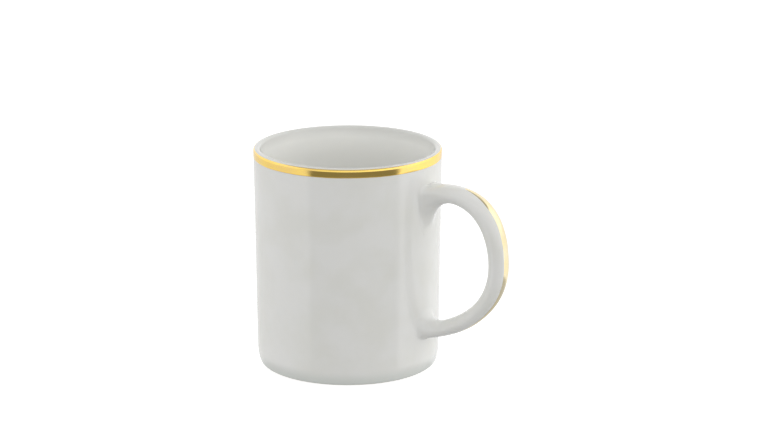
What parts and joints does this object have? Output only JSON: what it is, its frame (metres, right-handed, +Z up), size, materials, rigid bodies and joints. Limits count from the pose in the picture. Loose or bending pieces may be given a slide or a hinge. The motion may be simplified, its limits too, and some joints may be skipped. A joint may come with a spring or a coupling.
{
  "type": "teacup",
  "caption": "Straight-sided glazed ceramic mug with a loop handle, gold trim on the lip and the handle's spine, and a recessed foot.",
  "frame": {"origin": "the cup's axis at the plane it stands on, which is the mouth of the round recess inside the foot ring", "axes": "+Z up along the cup's axis, +X towards the handle, +Y to the left when seen from behind the cup towards the handle"},
  "size_m": [0.1199, 0.0822, 0.0966],
  "materials": {
    "cup_glaze": "clear gloss glaze over white body",
    "handle_glaze": "clear gloss glaze over white body",
    "joint_glaze": "clear gloss glaze, pooled a little in the fillet",
    "rim_gold": "bright fired gold, brushed on",
    "line_gold": "bright fired gold, brushed on"
  },
  "bodies": {
    "root": {"cup_body": "cup_glaze", "handle": "handle_glaze", "upper_handle_joint": "joint_glaze", "lower_handle_joint": "joint_glaze", "rim_gold_band": "rim_gold", "handle_gold_line": "line_gold"}
  },
  "joints": []
}
